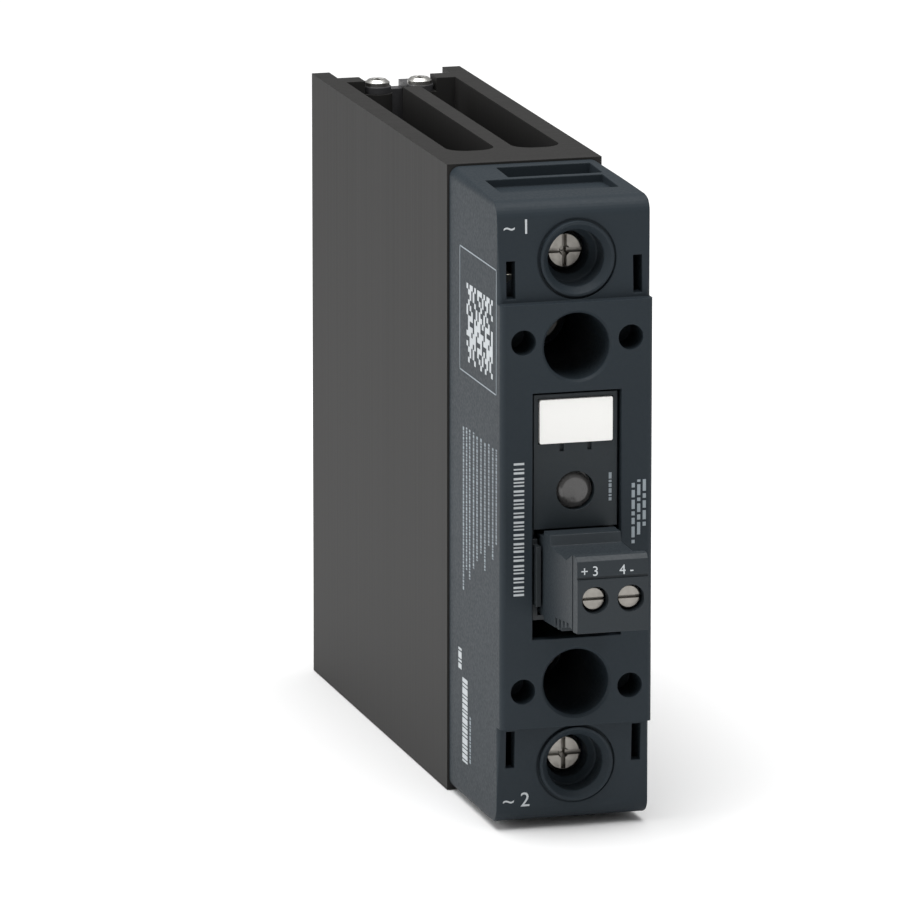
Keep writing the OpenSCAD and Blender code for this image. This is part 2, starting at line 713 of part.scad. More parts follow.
module optocoupler() color([0.15, 0.15, 0.16]) at_seam() {
    x = [-6.4, 0];
    z = [board_high - 9.6, board_high - 0.8];
    block(x, [board_front - 4.2, board_front - 0.7], z);
    for (side = x, i = [0:2])
        block([side - 0.3, side + 0.3], [board_front - 2, board_front], [z[0] + 1.4 + i * 2.54, z[0] + 2 + i * 2.54]);
}

module snubber_capacitor() color([0.75, 0.62, 0.2]) at_seam()
    plate_xz([board_back, board_back + 6.4])
        rounded([-8.2, board_low + 0.4], [riser_x[0] - 0.6, board_low + 5.6], 0.6);

module surge_varistor() color([0.12, 0.25, 0.5]) at_seam() {
    bar_y(4.4, [board_back + 1.2, board_back + 4.4], x = 3.6, z = body_h / 2 + 1);
    for (x = [1.1, 6.1]) bar_y(0.35, [board_back, board_back + 1.2 + eps], x = x, z = body_h / 2 + 1);
}

module gate_resistors() color([0.75, 0.68, 0.55]) at_seam()
    for (i = [0:2]) translate([1, board_front - 1, board_high - 2 - i * 3]) rotate([0, 90, 0]) {
        cylinder(r = 0.85, h = 5.2);
        for (end = [0, 4.2]) translate([0, 0, end]) cylinder(r = 1, h = 1);
    }

// Four pins that carry the gate signals from the board to the substrate
module gate_pins() color(zinc) at_seam()
    for (x = [-7, -5], z = [body_h / 2 - 2.5, body_h / 2 + 2.5])
        bar_y(0.35, [board_back, substrate_front], x = x, z = z);

// ---- Output clamps ----

// Slotted and crossed head, as on a terminal screw
module clamp_screw() {
    z = body_h - clamp_z;
    translate([clamp_x, 0, z]) difference() {
        union() {
            bar_y(clamp_screw_r, [clamp_head_back - eps, busbar_front - fit]);
            bar_y(clamp_head_r, [clamp_head_front + 0.5, clamp_head_back]);
            cone_y([clamp_head_r - 0.45, clamp_head_r], [clamp_head_front, clamp_head_front + 0.5 + eps]);
        }
        block([-clamp_head_r - 1, clamp_head_r + 1], [clamp_head_front - eps, clamp_head_front + 0.9],
            [-0.3, 0.3]);
        block([-0.3, 0.3], [clamp_head_front - eps, clamp_head_front + 1.4],
            [0.5 - clamp_head_r, clamp_head_r - 0.5]);
        cone_y([0.75, 0.3], [clamp_head_front - eps, clamp_head_front + 1.6]);
    }
}

module cage() {
    z = body_h - clamp_z;
    x = [clamp_x - cage_w / 2, clamp_x + cage_w / 2];
    difference() {
        plate_xz([nut_front, cage_back])
            rounded([x[0], z - cage_h / 2], [x[1], z + cage_h / 2], 0.4);
        block([x[0] + cage_wall, x[1] - cage_wall], [nut_back, cage_back - cage_wall],
            [z - cage_h, z + cage_h]);
        bar_y(clamp_screw_r + fit, [nut_front - eps, nut_back + eps], x = clamp_x, z = z);
    }
}

module upper_clamp_screw() color(zinc) at_seam() clamp_screw();
module lower_clamp_screw() color(zinc) at_seam() lower_end() clamp_screw();
module upper_cage() color(zinc) at_seam() cage();
module lower_cage() color(zinc) at_seam() lower_end() cage();

// ---- Input plug ----

// Side outline: nose in the header, collar, stepped top, front ridge and notched bottom
plug_outline = [
    [plug_nose, plug_low], [header_front - gap, plug_low],
    [header_front - gap, plug_z - 6.5], [tongue_front - 0.3, plug_z - 6],
    [tongue_front - 0.3, plug_z - 5.5], [plug_front + 3.7, plug_z - 4.5],
    [plug_front + 2.2, plug_z - 4.5], [plug_front + 2.2, plug_z - 4.8],
    [plug_front, plug_z - 4.6], [plug_front, plug_z + 2.9],
    [plug_front + 0.3, plug_z + 2.9], [plug_front + 0.3, plug_z + 3.3],
    [plug_front + 0.1, plug_z + 3.3], [plug_front + 0.3, plug_z + 5.4],
    [plug_front + 1, plug_z + 6], [plug_front + 2.4, plug_z + 6],
    [plug_front + 4, plug_z + 5.3], [plug_front + 5.5, plug_z + 4.6],
    [header_front - gap - 3.6, plug_z + 4.8], [header_front - gap - 3, plug_z + 6.2],
    [header_front - gap, plug_z + 6.2], [header_front - gap, plug_high], [plug_nose, plug_high]];

module plug_body() color(slate) at_seam() difference() {
    across(plug_w / 2, plug_outline);
    for (x = pole_x) {
        // chamber for the cage, and the slot of the contact behind it
        block([x - chamber_w / 2, x + chamber_w / 2], [plug_shelf_back, chamber_back],
            [chamber_low, chamber_high]);
        block([x - 1.7, x + 1.7], [chamber_back - eps, plug_nose + 1],
            [plug_z - 1.7, chamber_high]);
        bar_y(plug_head_r + 0.2, [plug_front - 1, plug_shelf_front], x = x, z = plug_z);
        bar_y(plug_screw_r + 0.2, [plug_shelf_front - eps, plug_shelf_back + eps], x = x, z = plug_z);
        translate([x, plug_cage_back - plug_wire_gap / 2, plug_z - 8]) cylinder(r = input_wire_r, h = 6);
    }
    // grooves between the side ribs of the front, and four grip notches behind them
    for (side = [-plug_w / 2, plug_w / 2]) {
        block([side - 0.25, side + 0.25], [plug_front + 2.2, plug_front + 2.7], [plug_z - 8, plug_z + 8]);
        for (i = [0:3]) block([side - 0.5, side + 0.5],
            [plug_front + 4.4 + 1.9 * i, plug_front + 5.3 + 1.9 * i], [plug_z - 8, plug_z - 4.1 - 0.2 * i]);
    }
}

module plug_contacts() color(copper) at_seam() for (x = pole_x) {
    strip_z = [chamber_high - 1, chamber_high - 0.2];
    sleeve_y = [chamber_back + 0.4, plug_nose - 0.6];
    block([x - 1.1, x + 1.1], [tongue_front, tongue_back], [chamber_low + 0.3, strip_z[1]]);
    block([x - 1.1, x + 1.1], [tongue_front, sleeve_y[0] + 0.8], strip_z);
    block([x - 1.1, x + 1.1], [sleeve_y[0], sleeve_y[0] + 0.8], [plug_z, strip_z[1]]);
    difference() {
        block([x - 1.4, x + 1.4], sleeve_y, [plug_z - 1.4, plug_z + 1.4]);
        block([x - pin_w / 2 - 0.1, x + pin_w / 2 + 0.1], [sleeve_y[0] + 0.9, sleeve_y[1] + 1],
            [plug_z - pin_w / 2 - 0.1, plug_z + pin_w / 2 + 0.1]);
    }
}

module plug_screw(x) translate([x, 0, plug_z]) difference() {
    union() {
        bar_y(plug_screw_r, [plug_head_back - eps, tongue_front - fit]);
        bar_y(plug_head_r, [plug_head_front + 0.2, plug_head_back]);
        cone_y([plug_head_r - 0.2, plug_head_r], [plug_head_front, plug_head_front + 0.2 + eps]);
    }
    block([-plug_head_r - 1, plug_head_r + 1], [plug_head_front - eps, plug_head_front + 0.8],
        [-0.2, 0.2]);
}

module plug_cage(x) {
    w = plug_cage_w / 2;
    h = plug_cage_h / 2;
    difference() {
        block([x - w, x + w], [plug_nut_front, plug_cage_back + plug_cage_t], [plug_z - h, plug_z + h]);
        block([x - w + 0.5, x + w - 0.5], [plug_nut_back, plug_cage_back], [plug_z - h - 1, plug_z + h + 1]);
        bar_y(plug_screw_r + fit, [plug_nut_front - eps, plug_nut_back + eps], x = x, z = plug_z);
    }
}

module left_plug_screw() color(zinc) at_seam() plug_screw(pole_x[0]);
module right_plug_screw() color(zinc) at_seam() plug_screw(pole_x[1]);
module left_plug_cage() color(zinc) at_seam() plug_cage(pole_x[0]);
module right_plug_cage() color(zinc) at_seam() plug_cage(pole_x[1]);

heatsink();
rail_adapter();
rail_latch();
latch_spring();
adapter_screws();
thermal_pad();
base_plate();
ceramic_substrate();
thyristor_chips();
line_busbar();
load_busbar();
fixing_screws();
housing();
front_insert();
marker_tag();
status_lens();
status_led();
circuit_board();
input_header();
header_pins();
optocoupler();
snubber_capacitor();
surge_varistor();
gate_resistors();
gate_pins();
upper_clamp_screw();
upper_cage();
lower_clamp_screw();
lower_cage();
plug_body();
plug_contacts();
left_plug_screw();
right_plug_screw();
left_plug_cage();
right_plug_cage();
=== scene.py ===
# %% [markdown]
# # A slim solid state relay on its heatsink
#
# This lesson dresses a measured relay. Its parts come from a CAD model, already in place and
# in metres, so nothing is fitted by eye. Here they get their finishes, and the printed marks
# and other fine pieces that the CAD model leaves out are modelled around them. The relay
# stands upright: +Z is up, the screws face -Y and the mounting rail would be at +Y.

# %% Load the measured parts
import json
import math

import bpy
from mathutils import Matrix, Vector


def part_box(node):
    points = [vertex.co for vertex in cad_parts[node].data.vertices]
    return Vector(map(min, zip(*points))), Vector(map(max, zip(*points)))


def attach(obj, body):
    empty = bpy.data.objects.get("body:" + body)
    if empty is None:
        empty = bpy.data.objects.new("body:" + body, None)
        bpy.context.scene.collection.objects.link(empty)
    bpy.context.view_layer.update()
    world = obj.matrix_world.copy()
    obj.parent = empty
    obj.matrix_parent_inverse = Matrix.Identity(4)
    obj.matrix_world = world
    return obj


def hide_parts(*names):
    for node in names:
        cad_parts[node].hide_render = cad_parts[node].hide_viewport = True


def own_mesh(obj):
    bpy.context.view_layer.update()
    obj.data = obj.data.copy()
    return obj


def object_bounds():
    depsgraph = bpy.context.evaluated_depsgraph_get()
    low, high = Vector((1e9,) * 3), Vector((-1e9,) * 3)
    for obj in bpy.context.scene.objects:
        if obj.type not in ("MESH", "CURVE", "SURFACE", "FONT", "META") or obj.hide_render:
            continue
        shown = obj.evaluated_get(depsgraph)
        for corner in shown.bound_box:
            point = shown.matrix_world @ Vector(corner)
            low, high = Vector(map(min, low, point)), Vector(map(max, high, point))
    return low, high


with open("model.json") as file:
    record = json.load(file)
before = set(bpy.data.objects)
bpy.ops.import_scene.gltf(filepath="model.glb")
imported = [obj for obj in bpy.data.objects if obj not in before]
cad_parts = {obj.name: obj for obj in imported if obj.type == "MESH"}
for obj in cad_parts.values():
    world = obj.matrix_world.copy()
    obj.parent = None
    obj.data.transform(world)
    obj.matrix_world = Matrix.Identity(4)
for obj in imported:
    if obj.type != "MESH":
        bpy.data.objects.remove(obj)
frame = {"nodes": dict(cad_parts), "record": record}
cad_low, cad_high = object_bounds()
nodes = frame["nodes"]
MM = 0.001
print("parts:", len(nodes), "box in mm:", [round(v / MM, 1) for v in cad_high - cad_low])

# %% [markdown]
# ## Small tools
#
# An operator works on everything that is selected, and a freshly loaded scene has all its
# parts selected. So each step starts by selecting only the piece it works on. A finished
# piece has its place in its mesh, with the object at the origin, because patterns are read
# from the object's own coordinates.

# %% Select, finish and report a piece
def only(piece):
    bpy.ops.object.select_all(action="DESELECT")
    piece.select_set(True)
    bpy.context.view_layer.objects.active = piece


def bake_place(piece):
    only(piece)
    bpy.ops.object.transform_apply(location=True, rotation=True, scale=True)


def use_modifiers(piece):
    only(piece)
    for modifier in list(piece.modifiers):
        bpy.ops.object.modifier_apply(modifier=modifier.name)


def report(piece):
    piece.data.calc_loop_triangles()
    size = [round(v / MM, 2) for v in piece.dimensions]
    print(piece.name, "mm:", size, "triangles:", len(piece.data.loop_triangles))


print("tools ready")

# %% [markdown]
# ## Node helpers
#
# A material is a small graph of nodes. Two helpers keep the graphs short to read: one adds a
# node and sets its inputs by name, the other joins an output to an input.

# %% Add and join nodes
def add(tree, kind, inputs=None, **settings):
    node = tree.nodes.new(kind)
    for name, value in settings.items():
        setattr(node, name, value)
    for name, value in (inputs or {}).items():
        node.inputs[name].default_value = value
    return node


def join(tree, source, target):
    tree.links.new(source, target)


def new_group(name, inputs, outputs):
    tree = bpy.data.node_groups.new(name, "ShaderNodeTree")
    for label, kind, value in inputs:
        tree.interface.new_socket(label, in_out="INPUT", socket_type=kind).default_value = value
    for label, kind in outputs:
        tree.interface.new_socket(label, in_out="OUTPUT", socket_type=kind)
    return tree, tree.nodes.new("NodeGroupInput"), tree.nodes.new("NodeGroupOutput")


def grey(value):
    return (value, value, value, 1)


NUMBER, VECTOR = "NodeSocketFloat", "NodeSocketVector"
print("node helpers ready")

# %% [markdown]
# ## Shared effect: moulded grain
#
# Tool steel is spark eroded, so a moulded plastic case has a fine random grain, and its tone
# drifts a little over the part where the plastic flowed. A noise texture gives both at two
# scales. It could be an image, but a procedural grain stays sharp from any distance.

# %% Group: moulded grain
def make_grain():
    tree, start, end = new_group("moulded_grain",
        [("Scale", NUMBER, 3000.0), ("Drift Scale", NUMBER, 45.0)],
        [("Height", NUMBER), ("Tone", NUMBER)])
    place = add(tree, "ShaderNodeTexCoord")
    fine = add(tree, "ShaderNodeTexNoise", {"Detail": 3.0, "Roughness": 0.6})
    slow = add(tree, "ShaderNodeTexNoise", {"Detail": 2.0, "Roughness": 0.5})
    for noise, scale in ((fine, "Scale"), (slow, "Drift Scale")):
        join(tree, place.outputs["Object"], noise.inputs["Vector"])
        join(tree, start.outputs[scale], noise.inputs["Scale"])
    join(tree, fine.outputs["Fac"], end.inputs["Height"])
    join(tree, slow.outputs["Fac"], end.inputs["Tone"])
    return tree


GRAIN = make_grain()
print("group:", GRAIN.name)

# %% [markdown]
# ## Shared effect: drawn lines
#
# An extruded profile and a rolled strip both carry fine straight lines along the way they
# were drawn. Stretching the coordinates before a noise texture turns its blobs into lines:
# a high number across the lines and a low one along them.

# %% Group: drawn lines
def make_lines():
    tree, start, end = new_group("drawn_lines",
        [("Stretch", VECTOR, (1500.0, 1500.0, 12.0))],
        [("Height", NUMBER), ("Tone", NUMBER)])
    place = add(tree, "ShaderNodeTexCoord")
    stretch = add(tree, "ShaderNodeVectorMath", operation="MULTIPLY")
    join(tree, place.outputs["Object"], stretch.inputs[0])
    join(tree, start.outputs["Stretch"], stretch.inputs[1])
    fine = add(tree, "ShaderNodeTexNoise", {"Scale": 1.0, "Detail": 4.0, "Roughness": 0.65})
    wide = add(tree, "ShaderNodeTexNoise", {"Scale": 0.12, "Detail": 2.0, "Roughness": 0.5})
    for noise in (fine, wide):
        join(tree, stretch.outputs["Vector"], noise.inputs["Vector"])
    join(tree, fine.outputs["Fac"], end.inputs["Height"])
    join(tree, wide.outputs["Fac"], end.inputs["Tone"])
    return tree


LINES = make_lines()
print("group:", LINES.name)

# %% [markdown]
# ## Shared effect: soft edges
#
# No real edge is perfectly sharp: it is rounded by the tool and catches the light, and it
# wears brighter where it is handled. The Bevel node returns the normal of a rounded edge,
# and where that normal differs from the face's own one there is an edge. The group gives
# both the rounded normal and a mask of the edge.

# %% Group: soft edges
def make_edges():
    tree, start, end = new_group("soft_edges",
        [("Radius", NUMBER, 0.0002), ("Strength", NUMBER, 3.0)],
        [("Normal", VECTOR), ("Edge", NUMBER)])
    bevel = add(tree, "ShaderNodeBevel", samples=6)
    join(tree, start.outputs["Radius"], bevel.inputs["Radius"])
    flat = add(tree, "ShaderNodeNewGeometry")
    agree = add(tree, "ShaderNodeVectorMath", operation="DOT_PRODUCT")
    join(tree, bevel.outputs["Normal"], agree.inputs[0])
    join(tree, flat.outputs["Normal"], agree.inputs[1])
    differ = add(tree, "ShaderNodeMath", operation="SUBTRACT", use_clamp=True)
    differ.inputs[0].default_value = 1.0
    join(tree, agree.outputs["Value"], differ.inputs[1])
    gain = add(tree, "ShaderNodeMath", operation="MULTIPLY", use_clamp=True)
    join(tree, differ.outputs["Value"], gain.inputs[0])
    join(tree, start.outputs["Strength"], gain.inputs[1])
    join(tree, bevel.outputs["Normal"], end.inputs["Normal"])
    join(tree, gain.outputs["Value"], end.inputs["Edge"])
    return tree


EDGES = make_edges()
print("group:", EDGES.name)

# %% [markdown]
# ## Material builder
#
# Every finish here has the same skeleton: a surface pattern gives a height and a slow tone,
# the tone moves the base colour between two close shades, an edge mask lightens the edges,
# and the height becomes a bump on top of the softened normal. One builder holds that
# skeleton, and each finish passes its own pattern and values.

# %% Build a material from a pattern and its values
def mixed(tree, factor, a, b):
    node = add(tree, "ShaderNodeMix", data_type="RGBA")
    for socket, value in ((node.inputs[0], factor), (node.inputs[6], a), (node.inputs[7], b)):
        if isinstance(value, bpy.types.NodeSocket):
            join(tree, value, socket)
        else:
            socket.default_value = value
    return node.outputs[2]


def mapped(tree, value, low, high, from_low=0.3, from_high=0.7):
    node = add(tree, "ShaderNodeMapRange", {1: from_low, 2: from_high, 3: low, 4: high})
    join(tree, value, node.inputs[0])
    return node.outputs[0]


def shade(colour, factor):
    return tuple(min(1.0, c * factor) for c in colour[:3]) + (1,)


def surface(name, colour, rough, pattern, pattern_inputs, bump, drift=0.12, metal=0.0,
            edge=0.0002, edge_light=1.5, rough_drift=0.08, coat=0.0, gloss=0.5):
    material = bpy.data.materials.new(name)
    material.use_nodes = True
    tree = material.node_tree
    shader = tree.nodes["Principled BSDF"]
    texture = add(tree, "ShaderNodeGroup", node_tree=pattern)
    for label, value in pattern_inputs.items():
        texture.inputs[label].default_value = value
    edges = add(tree, "ShaderNodeGroup", node_tree=EDGES)
    edges.inputs["Radius"].default_value = edge
    tone = mapped(tree, texture.outputs["Tone"], 0.0, 1.0)
    body = mixed(tree, tone, shade(colour, 1 - drift), shade(colour, 1 + drift))
    worn = mixed(tree, edges.outputs["Edge"], body, shade(colour, edge_light))
    join(tree, worn, shader.inputs["Base Color"])
    roughness = mapped(tree, texture.outputs["Height"], rough - rough_drift, rough + rough_drift)
    join(tree, roughness, shader.inputs["Roughness"])
    relief = add(tree, "ShaderNodeBump", {"Strength": bump, "Distance": 0.0001})
    join(tree, texture.outputs["Height"], relief.inputs["Height"])
    join(tree, edges.outputs["Normal"], relief.inputs["Normal"])
    join(tree, relief.outputs["Normal"], shader.inputs["Normal"])
    shader.inputs["Metallic"].default_value = metal
    shader.inputs["Coat Weight"].default_value = coat
    shader.inputs["Specular IOR Level"].default_value = gloss
    material.diffuse_color = shade(colour, 1)
    return material


def moulded(name, colour, rough=0.5, scale=2600.0, bump=0.25, **more):
    return surface(name, colour, rough, GRAIN, {"Scale": scale, "Drift Scale": 45.0}, bump, **more)


def drawn(name, colour, rough, stretch, bump=0.15, **more):
    return surface(name, colour, rough, LINES, {"Stretch": stretch}, bump, **more)


print("material builders ready")

# %% [markdown]
# ## Finish: black anodised extrusion
#
# The heatsink is an aluminium extrusion, sawn to length and anodised black. Its sides carry
# faint lines along Z from the die, and its two sawn ends carry marks across from the blade.
# Dyed oxide isn't a bare metal, so the shader mixes a little metal into a dark satin body.
# The two patterns are joined by a mask: the ends are the faces whose normal points along Z.

# %% Material: black anodised aluminium with extrusion lines and sawn ends
def make_anodised():
    colour = (0.0258, 0.0252, 0.0246)
    material = drawn("black_anodised", colour, 0.55, (1600.0, 1600.0, 4.0), bump=0.02, drift=0.02,
        metal=0.05, edge=0.00015, edge_light=1.8, rough_drift=0.03, gloss=0.10)
    tree = material.node_tree
    shader = tree.nodes["Principled BSDF"]
    facing = add(tree, "ShaderNodeNewGeometry")
    split = add(tree, "ShaderNodeSeparateXYZ")
    join(tree, facing.outputs["Normal"], split.inputs["Vector"])
    size = add(tree, "ShaderNodeMath", operation="ABSOLUTE")
    join(tree, split.outputs["Z"], size.inputs[0])
    is_end = add(tree, "ShaderNodeMath", operation="GREATER_THAN", inputs={1: 0.9})
    join(tree, size.outputs["Value"], is_end.inputs[0])
    saw = add(tree, "ShaderNodeGroup", node_tree=LINES)
    saw.inputs["Stretch"].default_value = (25.0, 2600.0, 25.0)
    drawn_body = shader.inputs["Base Color"].links[0].from_socket
    saw_tone = mapped(tree, saw.outputs["Height"], 0.0, 1.0)
    sawn_body = mixed(tree, saw_tone, shade(colour, 0.80), shade(colour, 1.15))
    body = mixed(tree, is_end.outputs["Value"], drawn_body, sawn_body)
    join(tree, body, shader.inputs["Base Color"])
    bump = shader.inputs["Normal"].links[0].from_node
    drawn_height = bump.inputs["Height"].links[0].from_socket
    height = mixed(tree, is_end.outputs["Value"], drawn_height, saw.outputs["Height"])
    join(tree, height, bump.inputs["Height"])
    return material


finishes = {"black_anodised": make_anodised()}
print("finish:", list(finishes))

# %% [markdown]
# ## Finishes: plastics
#
# The case, the plug, the header and the insert are four mouldings of nearly the same slate
# grey, but their grain differs: the case is spark eroded and matt, the insert is smoother
# and the plug is a slightly glossier polyamide. The marker tag is a white snap-in tag.

# %% Materials: moulded plastics
finishes["slate_plastic"] = moulded("slate_plastic", (0.0196, 0.0270, 0.0336), 0.54, 2400.0, 0.11,
    drift=0.06, edge=0.00025, edge_light=1.4, gloss=0.17)
finishes["insert_plastic"] = moulded("insert_plastic", (0.0165, 0.0225, 0.0270), 0.46, 3600.0, 0.12,
    drift=0.05, edge=0.00012, gloss=0.3)
finishes["header_plastic"] = moulded("header_plastic", (0.019, 0.023, 0.026), 0.42, 3000.0, 0.15,
    drift=0.06, edge=0.00012, gloss=0.3)
finishes["plug_plastic"] = moulded("plug_plastic", (0.0185, 0.0245, 0.0295), 0.48, 3000.0, 0.16,
    drift=0.06, edge=0.0002, edge_light=1.4, gloss=0.3)
finishes["latch_plastic"] = moulded("latch_plastic", (0.028, 0.032, 0.035), 0.48, 2200.0, 0.25,
    drift=0.08, edge=0.0002, gloss=0.35)
finishes["white_plastic"] = moulded("white_plastic", (0.93, 0.925, 0.90), 0.45, 3000.0, 0.10,
    drift=0.02, edge=0.00015, edge_light=0.9)
print("finishes:", len(finishes))

# %% [markdown]
# ## Finishes: metals
#
# Plated screws and cages have a bright skin with soft mottling from the bath, strip copper
# keeps its rolling lines under the tin, and the adapter is a pressed steel part with a black
# powder coat that has a fine orange peel.

# %% Materials: plated, drawn and coated metals
finishes["zinc_steel"] = moulded("zinc_steel", (0.58, 0.575, 0.55), 0.36, 1400.0, 0.12,
    drift=0.10, metal=1.0, edge=0.0001, edge_light=1.25)
finishes["nickel_steel"] = moulded("nickel_steel", (0.31, 0.295, 0.27), 0.38, 1800.0, 0.12,
    drift=0.10, metal=1.0, edge=0.0001, edge_light=1.2)
finishes["spring_steel"] = drawn("spring_steel", (0.50, 0.50, 0.49), 0.30, (400.0, 400.0, 2600.0),
    0.10, metal=1.0, edge=0.00004)
finishes["black_steel"] = moulded("black_steel", (0.050, 0.050, 0.053), 0.40, 1300.0, 0.30,
    drift=0.06, edge=0.00018, edge_light=1.6)
finishes["tinned_copper"] = drawn("tinned_copper", (0.62, 0.56, 0.50), 0.35, (2200.0, 40.0, 40.0),
    0.12, metal=1.0, edge=0.0001)
finishes["nickel_copper"] = drawn("nickel_copper", (0.60, 0.57, 0.51), 0.34, (2000.0, 30.0, 30.0),
    0.12, metal=1.0, edge=0.0001)
finishes["tinned_pins"] = drawn("tinned_pins", (0.66, 0.65, 0.61), 0.32, (1800.0, 30.0, 1800.0),
    0.10, metal=1.0, edge=0.00005)
print("finishes:", len(finishes))

# %% [markdown]
# ## Finishes: what is sealed inside
#
# The power stage and the control board are out of sight, but they show when the housing is
# hidden. Each one has its own maker's finish: a filled silicone pad, white alumina, dark
# silicon, green solder mask, and the usual coatings of small components.

# %% Materials: internal parts
finishes["thermal_pad"] = moulded("thermal_pad", (0.40, 0.41, 0.40), 0.75, 900.0, 0.35, drift=0.08)
finishes["ceramic"] = moulded("ceramic", (0.82, 0.80, 0.75), 0.55, 2000.0, 0.15, drift=0.04)
finishes["silicon"] = moulded("silicon", (0.12, 0.13, 0.16), 0.22, 900.0, 0.05, drift=0.12,
    metal=0.6)
finishes["led_epoxy"] = moulded("led_epoxy", (0.62, 0.66, 0.62), 0.15, 900.0, 0.04, drift=0.05,
    coat=0.5)
finishes["board_laminate"] = drawn("board_laminate", (0.020, 0.130, 0.055), 0.32,
    (700.0, 700.0, 90.0), 0.20, drift=0.25, coat=0.3)
finishes["chip_package"] = moulded("chip_package", (0.030, 0.030, 0.032), 0.55, 2600.0, 0.30)
finishes["capacitor_case"] = moulded("capacitor_case", (0.52, 0.35, 0.05), 0.35, 1500.0, 0.12)
finishes["varistor_coat"] = moulded("varistor_coat", (0.02, 0.08, 0.27), 0.28, 800.0, 0.35,
    coat=0.4)
finishes["resistor_body"] = moulded("resistor_body", (0.50, 0.40, 0.26), 0.35, 1500.0, 0.15,
    coat=0.3)
print("finishes:", len(finishes))

# %% [markdown]
# ## Finish: the status lens
#
# The light guide is a frosted rod of clear plastic with a grey cast while the light is off.
# A plain grey would look like paint, so it gets a cloudy two-tone body under a clear coat.

# %% Material: frosted light guide
finishes["lens_plastic"] = moulded("lens_plastic", (0.060, 0.058, 0.0565), 0.26, 500.0, 0.10,
    drift=0.30, edge=0.0004, edge_light=1.5, coat=0.6)
print("finish: lens_plastic")

# %% [markdown]
# ## Dress the measured parts
#
# The record names a material slot for every part, so one loop dresses them all. The shapes
# are right as they are, and only their material slots change.

# %% Give each part its finish
for entry in frame["record"]["subparts"]:
    part = nodes[entry["node"]]
    part.data.materials.clear()
    part.data.materials.append(finishes[entry["material_slot"]])

# %% [markdown]
# ## Printed marks
#
# The case is pad printed in white. The marks here are plain ones: pole numbers with their
# signs, and bars in place of any wording. Ink follows the surface, so each mark is made flat
# a little in front of the case, projected onto it with a Shrinkwrap modifier and given the
# thickness of an ink film with Solidify. Cutting marks into the case would be wrong, because
# ink stands on the surface.

# %% Ink material and the step that lays ink on a surface
INK_FILM = 0.03 * MM
ink = moulded("white_ink", (0.50, 0.53, 0.55), 0.6, 5000.0, 0.15, drift=0.10, edge=0.00001)
faint_ink = moulded("faint_ink", (0.27, 0.31, 0.34), 0.6, 5000.0, 0.15, drift=0.15, edge=0.00001)


def lay_ink(mark, onto, axis, body, material=ink):
    bake_place(mark)
    wrap = mark.modifiers.new("wrap", "SHRINKWRAP")
    wrap.target = nodes[onto]
    wrap.wrap_method = "PROJECT"
    wrap.use_project_x = axis == "X"
    wrap.use_project_y = axis == "Y"
    wrap.use_positive_direction = True
    wrap.use_negative_direction = True
    wrap.offset = INK_FILM / 2
    film = mark.modifiers.new("film", "SOLIDIFY")
    film.thickness = INK_FILM
    film.offset = 0.0
    use_modifiers(mark)
    mark.data.materials.clear()
    mark.data.materials.append(material)
    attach(mark, body)
    report(mark)


print("ink ready")

# %% [markdown]
# ## Pole numbers
#
# Each output terminal and each pole of the plug has its number, with a wave for alternating
# current and a plus or minus for direct current. They are text objects, turned to face the
# front and converted to a mesh before their place is applied.

# %% Number the terminals and the plug's poles
FACE_FRONT = (math.pi / 2, 0, 0)


def number_mark(name, words, height, x, z, depth, onto, body):
    bpy.ops.object.select_all(action="DESELECT")
    bpy.ops.object.text_add(location=(x, depth, z), rotation=FACE_FRONT)
    mark = bpy.context.object
    mark.name = name
    mark.data.body = words
    mark.data.size = height * 1.4
    mark.data.align_x = "LEFT"
    mark.data.align_y = "CENTER"
    mark.data.resolution_u = 3
    bpy.ops.object.convert(target="MESH")
    only(mark)
    bpy.ops.object.mode_set(mode="EDIT")
    bpy.ops.mesh.select_all(action="SELECT")
    bpy.ops.mesh.remove_doubles(threshold=0.00001)
    bpy.ops.object.mode_set(mode="OBJECT")
    lay_ink(mark, onto, "Y", body)
    return mark


case_low, case_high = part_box("housing")
plug_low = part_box("plug_body")[0]
CLEAR = 1 * MM
CASE_DIGIT, PLUG_DIGIT = 2.1 * MM, 1.35 * MM
case_mark_x = -10.1 * MM
mark_y, plug_mark_y = case_low.y - CLEAR, plug_low.y - CLEAR
plug_mark_z = plug_low.z + 10.5 * MM
for name, words, z in (("upper_pole_number", "~ 1", case_high.z - 4.2 * MM),
        ("lower_pole_number", "~ 2", case_low.z + 4.0 * MM)):
    number_mark(name, words, CASE_DIGIT, case_mark_x, z, mark_y, "housing", "relay")
for name, words, x in (("left_plug_number", "+ 3", -4.6 * MM),
        ("right_plug_number", "4 -", 0.9 * MM)):
    number_mark(name, words, PLUG_DIGIT, x, plug_mark_z, plug_mark_y, "plug_body", "input_plug")

# %% [markdown]
# ## Bars of print
#
# Where the case carries wording, this relay has plain bars. A row of bars is one mesh: in
# edit mode a small plane is added for each bar, at its place and length. The lengths repeat
# in a fixed rhythm, so the rows look like print and say nothing.

# %% Add flat boxes to one mesh, and rows of bars made of them
RHYTHM = (2.2, 0.9, 1.5, 0.6, 1.9, 1.1, 0.7, 1.6, 1.3, 0.8)
FACE_LEFT = (math.pi / 2, 0, -math.pi / 2)
side_x = case_low.x - CLEAR


